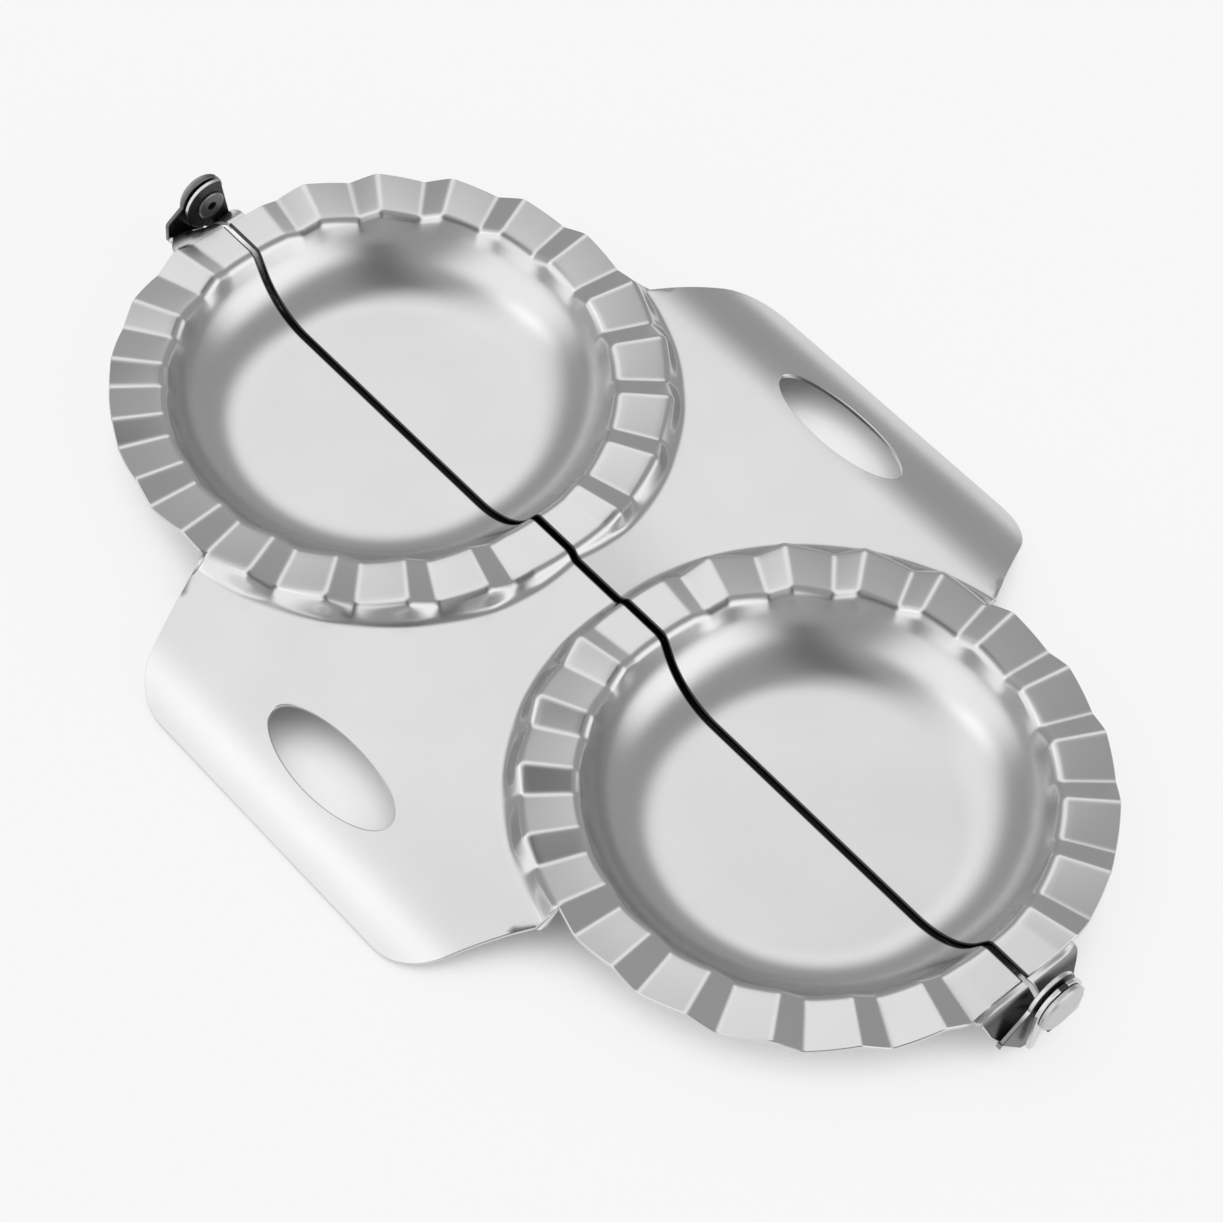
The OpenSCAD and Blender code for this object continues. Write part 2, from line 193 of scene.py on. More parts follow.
def flange_z(x):
    """Top surface of the flange at a distance x from the hinge plane."""
    if x < CURL_X:
        return -DROP + (DROP - SADDLE) * (1 - smooth(-LEVEL_X, LEVEL_X, x)) * 2
    run = x - CURL_X + CURL_R * math.sin(CURL_TILT)
    return -DROP - CURL_R * math.cos(CURL_TILT) + math.sqrt(CURL_R ** 2 - run ** 2)


def bowl_profile():
    """(radius, height, share of the crimp) from the bowl's centre to the start of the flat rim."""
    lip = (RIM_IN - LIP_R * math.sin(WALL_SLOPE), LIP_R * (math.cos(WALL_SLOPE) - 1))
    curve_z = CURVE_R - DEPTH
    end_z = curve_z - CURVE_R * math.cos(WALL_SLOPE)
    end_r = lip[0] - (lip[1] - end_z) / math.tan(WALL_SLOPE)
    floor_r = end_r - CURVE_R * math.sin(WALL_SLOPE)
    rows = [(floor_r * s, -DEPTH) for s in (0, 0.2, 0.45, 0.7, 0.88, 0.96)]
    for i in range(17):
        a = WALL_SLOPE * i / 16
        rows.append((floor_r + CURVE_R * math.sin(a), curve_z - CURVE_R * math.cos(a)))
    for i in range(1, 6):
        s = i / 6
        rows.append((end_r + (lip[0] - end_r) * s, end_z + (lip[1] - end_z) * s))
    for i in range(9):
        a = WALL_SLOPE * (1 - i / 8)
        rows.append((RIM_IN - LIP_R * math.sin(a), -LIP_R * (1 - math.cos(a))))
    return [(r, z, smooth(*BOWL_FADE, z)) for r, z in rows]


def wall_profile(drop):
    """(radius, height, share of the crimp) down the rim's outer wall to a flange drop below."""
    slope = min(EDGE_SLOPE, math.acos(max(1 - drop / (2 * EDGE_R), 0)))
    straight = max(drop - 2 * EDGE_R * (1 - math.cos(slope)), 0)
    run = straight / math.tan(slope)
    rows = []
    for i in range(1, 7):
        a = slope * i / 6
        rows.append((WALL_TOP + EDGE_R * math.sin(a), -EDGE_R * (1 - math.cos(a))))
    top = rows[-1]
    foot = (top[0] + run, top[1] - straight)
    rows.append(((top[0] + foot[0]) / 2, (top[1] + foot[1]) / 2))
    for i in range(7):
        a = slope * (1 - i / 6)
        rows.append((foot[0] + EDGE_R * (math.sin(slope) - math.sin(a)),
                     foot[1] - EDGE_R * (math.cos(a) - math.cos(slope))))
    rows.append((FOOT_R, -drop))
    return [(r, z, 1 - smooth(*WALL_FADE, -z / drop)) for r, z in rows]


def bulge(r, t):
    """How far a ridge of the crimp bulges out, or a groove sinks in, high on the outer wall."""
    share = (r - WALL_TOP) / (FOOT_R - WALL_TOP)
    return BULGE * wave(t) * math.sin(math.pi * share) * (1 - share) ** 1.5


def free_reach(t):
    """Outer radius of the free rim at t degrees from the ears: it is cut straight beside them."""
    return min(RIM_R, (TRIM_Y - PITCH / 2) / max(math.cos(math.radians(t)), 0.1))


class Sheet:
    """A top surface of points and faces, in millimetres. Points are shared by their place as it is
    stored, so that one that is worked out twice never leaves a crack."""

    def __init__(self):
        self.points = []
        self.faces = []
        self.known = {}

    def point(self, x, y, z):
        place = Vector((x, y, z))
        key = (round(place.x, 3), round(place.y, 3))
        if key not in self.known:
            self.known[key] = len(self.points)
            self.points.append(place)
        return self.known[key]

    def face(self, *indices):
        loop = [i for n, i in enumerate(indices) if i != indices[n - 1]]
        if len(loop) > 2:
            self.faces.append(loop)


def half_bowl(sheet, sgn):
    """One half bowl with its crimped rim, and the stepped wall where the flange adjoins. Returns
    the points at that wall's foot."""
    centre_y = sgn * PITCH / 2
    inner = bowl_profile()
    flat = [(RIM_IN + (WALL_TOP - RIM_IN) * i / 7, 0.0, 1.0) for i in range(1, 8)]
    free = [(WALL_TOP + (RIM_R - WALL_TOP) * i / 2, 0.0, 1.0) for i in (1, 2)]
    angles = [ANGLE_STEP * i for i in range(round(180 / ANGLE_STEP) + 1)]
    ends = [(0.0, INSET - SLIT)] + [(t, 0.0) for t in angles] + [(180.0, INSET - SLIT)]

    def walled(t):
        return t >= WALL_START if sgn > 0 else t <= 180 - WALL_START

    def row(t, shift):
        a = math.radians(t)
        foot_x = max(INSET + FOOT_R * math.sin(a) - shift, SLIT)
        outer = wall_profile(-flange_z(foot_x)) if walled(t) else free
        squeeze = (free_reach(t if sgn > 0 else 180 - t) - RIM_IN) / (RIM_R - RIM_IN)
        out = []
        for r, z, share in inner + flat + outer:
            if not walled(t) and r > RIM_IN:
                r = RIM_IN + (r - RIM_IN) * squeeze
            x = INSET + r * math.sin(a) - shift
            y = centre_y + r * math.cos(a)
            height = z + share * wave(t) * crimp(min(r, RIM_R))
            if walled(t) and WALL_TOP < r < FOOT_R:
                x += bulge(r, t) * math.sin(a)
                y += bulge(r, t) * math.cos(a)
            elif walled(t) and r == FOOT_R:
                height = flange_z(x)
            out.append(sheet.point(x, y, height))
        return out

    rows = [row(t, shift) for t, shift in ends]
    for a, b in zip(rows, rows[1:]):
        n = min(len(a), len(b))
        for i in range(n - 1):
            sheet.face(a[i], a[i + 1], b[i + 1], b[i])
        for i in range(n - 1, len(b) - 1):
            sheet.face(a[n - 1], b[i + 1], b[i])
        for i in range(n - 1, len(a) - 1):
            sheet.face(a[i], a[i + 1], b[n - 1])
    return [r[-1] for r, (t, _) in zip(rows, ends) if walled(t)]


def flange_outline():
    """Side, corner curve and straight edge of the flange for y > 0, from where its side leaves the
    rim to the middle of its edge."""
    corner = Vector((REACH - CORNER_R, STRAIGHT / 2))
    run = Vector((corner.x - ROOT_X, ROOT_Y - corner.y))
    lean = math.atan2(run.y, run.x) - math.asin(CORNER_R / run.length)
    points = []
    tangent = corner + CORNER_R * Vector((math.sin(lean), math.cos(lean)))
    start = Vector((ROOT_X, ROOT_Y))
    for i in range(4, 13):
        points.append(start.lerp(tangent, i / 12))
    for i in range(1, 25):
        a = math.pi / 2 - lean - (math.pi / 2 - lean) * i / 24
        points.append(corner + CORNER_R * Vector((math.cos(a), math.sin(a))))
    for i in range(1, 14):
        points.append(Vector((REACH, corner.y * (1 - i / 13))))
    return points


def flange(sheet, foot_rear, foot_front):
    """The flange between the two half bowls, with its finger hole."""
    top = [sheet.points[i].xy for i in foot_rear]
    low = [sheet.points[i].xy for i in foot_front]
    half = flange_outline()
    other = [Vector((p.x, -p.y)) for p in reversed(half[:-1])]
    slit_n = 4
    slit_y = top[-1].y
    slit = [Vector((SLIT, slit_y - 2 * slit_y * i / slit_n)) for i in range(1, slit_n)]
    loop = list(reversed(top)) + half + other + list(reversed(low)) + list(reversed(slit))
    hole = []
    for i in range(HOLE_SIDES):
        a = 2 * math.pi * i / HOLE_SIDES
        hole.append(Vector((HOLE_X + HOLE_W / 2 * math.cos(a), HOLE_LEN / 2 * math.sin(a))))

    verts = loop + hole
    n = len(loop)
    edges = [(i, (i + 1) % n) for i in range(n)]
    edges += [(n + i, n + (i + 1) % len(hole)) for i in range(len(hole))]

    def clear(p):
        for q in verts:
            if abs(q.x - p.x) < GRID_ROOM and abs(q.y - p.y) < GRID_ROOM:
                return False
        return True

    inner = []
    for ix in range(45):
        x = GRID_START + GRID * ix
        for iy in range(-28, 29):
            p = Vector((x, GRID * iy))
            if clear(p):
                inner.append(p)
    out = delaunay_2d_cdt(verts + inner, edges, [], 0, 1e-5)
    points, faces = out[0], out[2]
    indices = {}

    def inside(p, polygon):
        hit = False
        for i, a in enumerate(polygon):
            b = polygon[i - 1]
            if (a.y > p.y) != (b.y > p.y):
                if p.x < a.x + (p.y - a.y) / (b.y - a.y) * (b.x - a.x):
                    hit = not hit
        return hit

    for f in faces:
        mid = sum((points[i] for i in f), Vector((0, 0))) / len(f)
        if not inside(mid, loop) or inside(mid, hole):
            continue
        for i in f:
            if i not in indices:
                indices[i] = sheet.point(points[i].x, points[i].y, flange_z(points[i].x))
        sheet.face(*[indices[i] for i in reversed(f)])


def thicken(surface):
    """Gives a surface of points and faces its thickness downwards, with softly rounded cut edges.
    Returns the closed sheet's points and faces."""
    bm = bmesh.new()
    for p in surface.points:
        bm.verts.new(p)
    bm.verts.ensure_lookup_table()
    for f in surface.faces:
        bm.faces.new([bm.verts[i] for i in f])
    bmesh.ops.recalc_face_normals(bm, faces=bm.faces)
    if sum(f.normal.z * f.calc_area() for f in bm.faces) < 0:
        bmesh.ops.reverse_faces(bm, faces=bm.faces)
    bm.normal_update()
    bm.verts.index_update()

    outward = {}
    for e in bm.edges:
        if not e.is_boundary:
            continue
        loop = e.link_loops[0]
        a, b = loop.vert.co, loop.link_loop_next.vert.co
        side = (b - a).normalized().cross(e.link_faces[0].normal)
        for v in e.verts:
            outward[v.index] = outward.get(v.index, Vector()) + side
    normals = [v.normal.copy() for v in bm.verts]
    points = [v.co.copy() for v in bm.verts]
    for side in outward.values():
        side.normalize()
    boundary = [(e.link_loops[0].vert.index, e.link_loops[0].link_loop_next.vert.index)
                for e in bm.edges if e.is_boundary]
    tops = [[v.index for v in f.verts] for f in bm.faces]
    bm.free()

    n = len(points)
    verts = []
    for depth in (0.0, SHEET):
        for i, p in enumerate(points):
            inset = outward[i] * CUT_ROUND if i in outward else Vector()
            verts.append(p - inset - normals[i] * depth)
    side_index = {}
    for i in outward:
        side_index[i] = len(verts)
        verts.append(points[i] - normals[i] * CUT_ROUND)
        verts.append(points[i] - normals[i] * (SHEET - CUT_ROUND))
    faces = list(tops) + [[n + i for i in reversed(f)] for f in tops]
    for a, b in boundary:
        sa, sb = side_index[a], side_index[b]
        faces.append([b, a, sa, sb])
        faces.append([sb, sa, sa + 1, sb + 1])
        faces.append([sb + 1, sa + 1, n + a, n + b])
    return verts, faces


def mesh_object(name, solids, turn, sharp):
    """One object in metres from several closed solids, turned about the vertical axis and
    smooth-shaded, with edges over the sharp angle left crisp."""
    spin = Matrix.Rotation(turn, 3, "Z")
    lift = Vector((0, 0, REST_H))
    points = []
    polygons = []
    for verts, faces in solids:
        start = len(points)
        points += [(spin @ Vector(v) + lift) * MM for v in verts]
        polygons += [[start + i for i in f] for f in faces]
    mesh = bpy.data.meshes.new(name)
    mesh.from_pydata(points, [], polygons)
    mesh.validate()
    mesh.polygons.foreach_set("use_smooth", [True] * len(mesh.polygons))
    mesh.set_sharp_from_angle(angle=math.radians(sharp))
    obj = bpy.data.objects.new(name, mesh)
    bpy.context.scene.collection.objects.link(obj)
    return obj


# ---------------------------------------------------------------------------------------------
# Hinge ears
# ---------------------------------------------------------------------------------------------

def arc(centre, radius, start, end, count):
    """Points on an arc, angles in degrees."""
    out = []
    for i in range(count + 1):
        a = math.radians(start + (end - start) * i / count)
        out.append(Vector((centre[0] + radius * math.cos(a), centre[1] + radius * math.sin(a))))
    return out


FLAT_TILT = math.radians(SKIRT_FLAT_TILT)

# The ears at the rear have one side of their lugs trimmed along a leaning line: its distance from
# the pivot, and the angles at which it meets the round lug, above and below.
LEAN = math.radians(LUG_LEAN)
TRIM_DIST = LUG_SIDE * math.cos(LEAN) - PIVOT * math.sin(LEAN)
LUG_CHORD = math.degrees(math.acos(TRIM_DIST / LUG_R))
LUG_TOP = LUG_LEAN + LUG_CHORD
LUG_FOOT = LUG_LEAN - LUG_CHORD


def flat_x(z):
    """How far the flat stretch of a skirt's edge is from the hinge plane at a height."""
    return (SKIRT_FLAT + (z - PIVOT) * math.sin(FLAT_TILT)) / math.cos(FLAT_TILT)


def wide_outline(reach, shoulder, trimmed):
    """A wide ear in its own plane, as (x, z): round lug, web and the skirt below them, which is
    round about the pivot with one flat stretch."""
    pivot = (0, PIVOT)
    if trimmed:
        points = arc(pivot, LUG_R, WEB_ANGLE, 180 - LUG_TOP, 40)
        points += arc(pivot, LUG_R, 180 - LUG_FOOT, 276, 20)
    else:
        points = arc(pivot, LUG_R, WEB_ANGLE, 276, 60)
    flat_half = math.degrees(math.acos(SKIRT_FLAT / SKIRT_R))
    points += arc(pivot, SKIRT_R, 273, 360 - SKIRT_FLAT_TILT - flat_half, 16)
    if flat_x(shoulder) > reach:
        low = PIVOT - (SKIRT_FLAT - reach * math.cos(FLAT_TILT)) / math.sin(FLAT_TILT)
        soft = 0.2
        shoulder_r = 1.2
        points.append(Vector((reach - soft, low - soft)))
        points.append(Vector((reach, low + soft)))
        points += arc((reach - shoulder_r, shoulder - shoulder_r), shoulder_r, 5, 50, 5)
    return points


def neck_corner(foot, reach):
    """The foot of a narrow ear's neck, with its far corner rounded."""
    corner_r = 0.8
    centre = (reach - corner_r, foot + corner_r)
    return [Vector((-SLIT, foot))] + arc(centre, corner_r, -90, 0, 6)


def narrow_inner_outline(foot, reach):
    """The narrow inner ear: trimmed round lug, and neck down to its bend."""
    return arc((0, PIVOT), LUG_R, LUG_TOP, 262, 60) + neck_corner(foot, reach)


def narrow_outer_outline(foot, reach):
    """The narrow outer ear: round lug, neck, and a finger that hangs down on its other side."""
    pivot = (0, PIVOT)
    tip = PIVOT - FINGER_LEN
    points = arc(pivot, LUG_R, -8, 180, 50)
    points += [Vector((-LUG_R, PIVOT - 1)), Vector((-LUG_R + 0.1, tip + 1.2))]
    points += arc((-LUG_R + 0.9, tip + 0.7), 0.75, 190, 330, 8)
    points += [Vector((-2.8, tip + 2.8)), Vector((-2.5, PIVOT - 4.1))]
    points += arc(pivot, LUG_R, 243, 262, 4)
    points += neck_corner(foot, reach)
    points.append(Vector((reach, -SLIT)))
    return points


def ear_plate(outline, hole, y_face, facing):
    """A flat sheet in the XZ plane with softly rounded edges; y_face is its outer face."""
    loops = [outline, hole]
    flat = [inset(loop, CUT_ROUND) for loop in loops]
    hole_centre = sum(flat[1], Vector((0, 0))) / len(flat[1])
    n = len(outline)
    edges = [(i, (i + 1) % n) for i in range(n)]
    edges += [(n + i, n + (i + 1) % len(hole)) for i in range(len(hole))]
    out = delaunay_2d_cdt(flat[0] + flat[1], edges, [], 1, 1e-6)
    verts = []
    faces = []
    sides = []
    for near in (0, 1):
        start = len(verts)
        y = y_face - facing * SHEET * near
        verts += [Vector((p.x, y, p.y)) for p in out[0]]
        lookup = {}
        for new, olds in enumerate(out[3]):
            for old in olds:
                lookup[old] = start + new
        for f in out[2]:
            mid = sum((out[0][i] for i in f), Vector((0, 0))) / len(f)
            if (mid - hole_centre).length < BORE_R:
                continue
            faces.append([start + i for i in (f if near else reversed(f))])
        sides.append(lookup)
    offset = 0
    for loop in loops:
        n = len(loop)
        ring = []
        for p in loop:
            ring.append(len(verts))
            verts.append(Vector((p.x, y_face - facing * CUT_ROUND, p.y)))
            verts.append(Vector((p.x, y_face - facing * (SHEET - CUT_ROUND), p.y)))
        for i in range(n):
            j = (i + 1) % n
            a, b = ring[i], ring[j]
            top_a, top_b = sides[0][offset + i], sides[0][offset + j]
            low_a, low_b = sides[1][offset + i], sides[1][offset + j]
            faces += [[top_a, top_b, b, a], [a, b, b + 1, a + 1], [a + 1, b + 1, low_b, low_a]]
        offset += n
    return aligned(verts, faces)


def aligned(verts, faces):
    """The same solid with all its faces turned outwards."""
    bm = bmesh.new()
    made = [bm.verts.new(v) for v in verts]
    for f in faces:
        try:
            bm.faces.new([made[i] for i in f])
        except ValueError:
            continue
    bmesh.ops.recalc_face_normals(bm, faces=bm.faces)
    bm.verts.index_update()
    points = [v.co.copy() for v in bm.verts]
    loops = [[v.index for v in f.verts] for f in bm.faces]
    bm.free()
    return points, loops


def inset(loop, depth):
    """A closed loop moved towards the sheet's inside: in for an outline, out for a hole."""
    area = sum(loop[i - 1].cross(p) for i, p in enumerate(loop))
    way = 1 if area > 0 else -1
    out = []
    for i, p in enumerate(loop):
        before = (p - loop[i - 1]).normalized()
        after = (loop[(i + 1) % len(loop)] - p).normalized()
        along = (before + after).normalized()
        out.append(p + Vector((-along.y, along.x)) * depth * way)
    return out


def roll_profile(face, x, crest):
    """(distance along Y, height, share of the rim's crimp) from under the rim's edge over the crest
    and down into an ear whose outer face is at the distance. The bend is nearly a straight chamfer
    at the slit and rounder away from it, at the rear more than at the front."""
    start, rise = crest
    top = RIM_EDGE_Z + (rise - RIM_EDGE_Z) * smooth(-2, 7, x)
    rows = [(TRIM_Y - 0.5, RIM_EDGE_Z - 0.05, 1.0), (TRIM_Y - 0.1, RIM_EDGE_Z, 1.0)]
    for i in range(1, 8):
        u = i / 7
        height = RIM_EDGE_Z + (top - RIM_EDGE_Z) * smooth(-0.25, 1, u)
        rows.append((TRIM_Y + (start - TRIM_Y) * u, height, 1 - u))
    drop = face - start
    rounding = REAR_ROUNDING if rise < 0 else FRONT_ROUNDING
    power = BEND_POWER - rounding * smooth(0, 7, x)
    for i in range(1, 25):
        a = math.pi / 2 * i / 24
        rows.append((start + drop * math.sin(a) ** power,
                     top - drop * (1 - abs(math.cos(a)) ** power), 0.0))
    return rows


def ear_roll(end, outer, reach, flare, crest):
    """Sheet that rolls from the trimmed rim down into an ear. An outer ear's roll is open around
    the pivot, where the other plate's lug and the washer turn."""
    face = OUTER_FACE if outer else INNER_FACE
    surface = Sheet()
    near_n, far_n = 10, 26
    rows = []
    profiles = {}

    def place(x, j):
        key = round(x, 2)
        if key not in profiles:
            profiles[key] = roll_profile(face, x, crest)
        y, z, share = profiles[key][j]
        angle = math.degrees(math.atan2(x - INSET, TRIM_Y - PITCH / 2))
        rim = wave(angle) * CRIMP_H * end
        surface.points.append(Vector((x, end * y, z + rim * share)))
        return len(surface.points) - 1

    sample = roll_profile(face, LUG_R, crest)
    first = next(j for j, row in enumerate(sample) if row[0] > RELIEF_Y)
    for j, (y, z, _) in enumerate(sample):
        far_x = reach + flare * (1 - smooth(BEND_START, BEND_START + 0.7 * (face - BEND_START), y))
        far_x = min(far_x, flat_x(z))
        edge_j = max(j, first) if outer else j
        height = sample[edge_j][1] - PIVOT
        edge = math.sqrt(max(RELIEF_R ** 2 - height ** 2, 0)) if outer else SLIT + 0.5
        edge = min(max(edge, SLIT + 0.5), reach - 1)
        near = [SLIT + (edge - SLIT) * i / near_n for i in range(near_n)]
        far = [edge + (far_x - edge) * i / far_n for i in range(far_n + 1)]
        if outer and j > first:
            near = []
        rows.append([place(x, j) for x in near + far])
    for a, b in zip(rows, rows[1:]):
        skip = len(a) - len(b)
        for i in range(len(b) - 1):
            surface.face(a[i + skip], a[i + skip + 1], b[i + 1], b[i])
    return thicken(surface)


def ear(end, outer, outline, reach, flare, crest):
    """Plate and roll of one ear: end is 1 at the plate's rear and -1 at its front."""
    face = OUTER_FACE if outer else INNER_FACE
    hole = arc((0, PIVOT), BORE_R, 360, 360 / 32, 31)
    return [ear_plate(outline, hole, end * face, end),
            ear_roll(end, outer, reach, flare, crest)]


def right_ears():
    """Rear and front ear of the right plate, which are narrow."""
    inner = narrow_inner_outline(BEND_START - INNER_FACE - NARROW_DROP, NARROW_INNER_REACH)
    outer = narrow_outer_outline(BEND_START - OUTER_FACE - NARROW_DROP, NARROW_OUTER_REACH)
    return (ear(1, False, inner, NARROW_INNER_REACH, 0, REAR_CREST),
            ear(-1, True, outer, NARROW_OUTER_REACH, NARROW_OUTER_FLARE, FRONT_CREST))


def left_ears():
    """Inner and outer ear of the left plate, which are wide. They are made as for a right plate,
    and half a turn brings the inner one to the front and the outer one to the rear."""
    inner = wide_outline(WIDE_INNER_REACH, WIDE_INNER_SHOULDER, False)
    outer = wide_outline(WIDE_OUTER_REACH, WIDE_OUTER_SHOULDER, True)
    return (ear(1, False, inner, WIDE_INNER_REACH, WIDE_INNER_FLARE, FRONT_CREST),
            ear(-1, True, outer, WIDE_OUTER_REACH, WIDE_OUTER_FLARE, REAR_CREST))


# ---------------------------------------------------------------------------------------------
# Materials
# ---------------------------------------------------------------------------------------------

# Stretch of the rolling grain, and how far the cloudy marks take the tone down and up.
GRAIN_STRETCH = (900, 9000, 900)
CLOUD_TONES = (0.92, 1.04)

# How far apart the grain takes the roughness, and the strength and depth in metres of its bumps.
GRAIN_ROUGH = 0.08
BUMP_STRENGTH = 0.22
BUMP_DEPTH = 0.00002

# Fades over places, in metres, and over how far a face looks along the hinge, for the painted shade
# that darkens the steel.
PARTING_FADE = (0.00095, 0.00068)
WEB_X_FADE = (-0.0045, -0.0065)
WEB_Y_FADE = (-0.0994, -0.0997)
WEB_SHARE = 0.75
FRONT_FADE = (-0.3, -0.55)
REAR_FRONT_FADE = (-0.5, -0.75)
REAR_BACK_FADE = (0.1, 0.4)
REAR_SHARE = 0.9


def wire(tree, socket, value):
    """Sets a socket to a number or links another socket to it."""
    if isinstance(value, (int, float)):
        socket.default_value = value
    else:
        tree.links.new(value, socket)


def maths(tree, kind, *values):
    """One sum of numbers or sockets."""
    node = tree.nodes.new("ShaderNodeMath")
    node.operation = kind
    for socket, value in zip(node.inputs, values):
        wire(tree, socket, value)
    return node.outputs[0]


def fade(tree, value, start, end):
    """A smooth step from 0 at the start value to 1 at the end value."""
    node = tree.nodes.new("ShaderNodeMapRange")
    node.interpolation_type = "SMOOTHSTEP"
    node.inputs["From Min"].default_value = start
    node.inputs["From Max"].default_value = end
    wire(tree, node.inputs["Value"], value)
    return node.outputs["Result"]


def parts(tree, vector):
    """X, Y and Z of a vector."""
    node = tree.nodes.new("ShaderNodeSeparateXYZ")
    wire(tree, node.inputs["Vector"], vector)
    return node.outputs


def blend(tree, share, first, second):
    """Mixes two colours, each a socket or a grey level."""
    node = tree.nodes.new("ShaderNodeMix")
    node.data_type = "RGBA"
    wire(tree, node.inputs["Factor"], share)
    for name, colour in (("A", first), ("B", second)):
        if isinstance(colour, (int, float)):
            node.inputs[name].default_value = (colour, colour, colour, 1)
        else:
            wire(tree, node.inputs[name], colour)
    return node.outputs["Result"]


def noise(tree, vector, scale, detail, stretch=(1, 1, 1)):
    """Even noise from 0 to 1, stretched along the axes."""
    mapping = tree.nodes.new("ShaderNodeMapping")
    mapping.inputs["Scale"].default_value = stretch
    wire(tree, mapping.inputs["Vector"], vector)
    node = tree.nodes.new("ShaderNodeTexNoise")
    node.inputs["Scale"].default_value = scale
    node.inputs["Detail"].default_value = detail
    wire(tree, node.inputs["Vector"], mapping.outputs["Vector"])
    return node.outputs["Fac"]


def steel(name, tone, rough, painted_shade=None, dark=0.05):
    """Satin stainless sheet with fine rolling grain and faint cloudy marks. The optional mask after
    the roughness is painted shade: a function of the tree, position and normal for how much of the
    tone gives way to a dark grey."""
    mat = bpy.data.materials.new(name)
    mat.use_nodes = True
    tree = mat.node_tree
    shader = tree.nodes["Principled BSDF"]
    shader.inputs["Metallic"].default_value = 1.0
    place = tree.nodes.new("ShaderNodeTexCoord").outputs
    grain = noise(tree, place["Object"], 1.0, 3.0, GRAIN_STRETCH)
    cloud = noise(tree, place["Object"], 55.0, 4.0)
    colour = blend(tree, cloud, *[tone * level for level in CLOUD_TONES])
    # Painted shade: where the mask is 1, the tone gives way to the dark grey.
    if painted_shade:
        colour = blend(tree, painted_shade(tree, place["Object"], place["Normal"]), colour, dark)
    wire(tree, shader.inputs["Base Color"], colour)

    spread = maths(tree, "MULTIPLY_ADD", grain, GRAIN_ROUGH, rough - GRAIN_ROUGH / 2)
    wire(tree, shader.inputs["Roughness"], spread)
    bump = tree.nodes.new("ShaderNodeBump")
    bump.inputs["Strength"].default_value = BUMP_STRENGTH
    bump.inputs["Distance"].default_value = BUMP_DEPTH
    wire(tree, bump.inputs["Height"], grain)
    wire(tree, shader.inputs["Normal"], bump.outputs["Normal"])
    return mat


def parting_slit_shade(tree, position, normal):
    """Painted shade on the cut edges along the parting line, so that the slit between them looks
    dark.
    """
    return fade(tree, maths(tree, "ABSOLUTE", parts(tree, position)["X"]), *PARTING_FADE)


def front_face_shade(tree, position, normal):
    """Painted shade on faces of an ear that look along the hinge to the front, and on the wide
    ear's web there.
    """
    place = parts(tree, position)
    web = maths(tree, "MULTIPLY", fade(tree, place["X"], *WEB_X_FADE),
                fade(tree, place["Y"], *WEB_Y_FADE))
    return maths(tree, "MAXIMUM", fade(tree, parts(tree, normal)["Y"], *FRONT_FADE),
                 maths(tree, "MULTIPLY", web, WEB_SHARE))


def rear_roll_shade(tree, position, normal):
    """Painted shade on faces of the outer rear ear's roll that look along the hinge either way."""
    ahead = parts(tree, normal)["Y"]
    either = maths(tree, "MAXIMUM", fade(tree, ahead, *REAR_BACK_FADE),
                   fade(tree, ahead, *REAR_FRONT_FADE))
    return maths(tree, "MULTIPLY", either, REAR_SHARE)


# ---------------------------------------------------------------------------------------------
# Floor, light and camera
# ---------------------------------------------------------------------------------------------

# Distance in metres that counts for how open a place on the floor is to the sky, and the openness
# over which the floor starts to look white; the white's share.
SKY_REACH = 0.05
WHITE_FADE = (0.1, 0.55)
WHITE_SHARE = 0.82

# Grey levels of the floor and of the strip of painted shadow on it.
FLOOR_TONE = 0.93
STRIP_TONE = 0.03

# The strip of painted shadow: its ends, the rear one cut at a slant; its width in metres and how
# covered it has to be, first where it is wide and then where it is narrow.
STRIP_SLANT = -0.94
STRIP_REAR_FADE = (0.097, 0.096)
STRIP_FRONT_FADE = (-0.0915, -0.0905)
WIDE_FADE = (0.0095, 0.0085)
WIDE_COVER_FADE = (0.5, 0.35)
NARROW_FADE = (0.0014, 0.0011)
NARROW_COVER_FADE = (0.9, 0.75)


def painted_shadow_strip(tree, open_sky):
    """Share of a strip of the floor under the parting line that is painted dark as a shadow, so
    that the floor doesn't shine through the slit."""
    place = parts(tree, tree.nodes.new("ShaderNodeTexCoord").outputs["Object"])
    aside = maths(tree, "ABSOLUTE", place["X"])
    rear = maths(tree, "MULTIPLY_ADD", place["X"], STRIP_SLANT, place["Y"])
    along_y = maths(tree, "MULTIPLY", fade(tree, rear, *STRIP_REAR_FADE),
                    fade(tree, place["Y"], *STRIP_FRONT_FADE))
    wide = maths(tree, "MULTIPLY", fade(tree, aside, *WIDE_FADE),
                 fade(tree, open_sky, *WIDE_COVER_FADE))
    narrow = maths(tree, "MULTIPLY", fade(tree, aside, *NARROW_FADE),
                   fade(tree, open_sky, *NARROW_COVER_FADE))
    return maths(tree, "MULTIPLY", maths(tree, "MAXIMUM", wide, narrow), along_y)


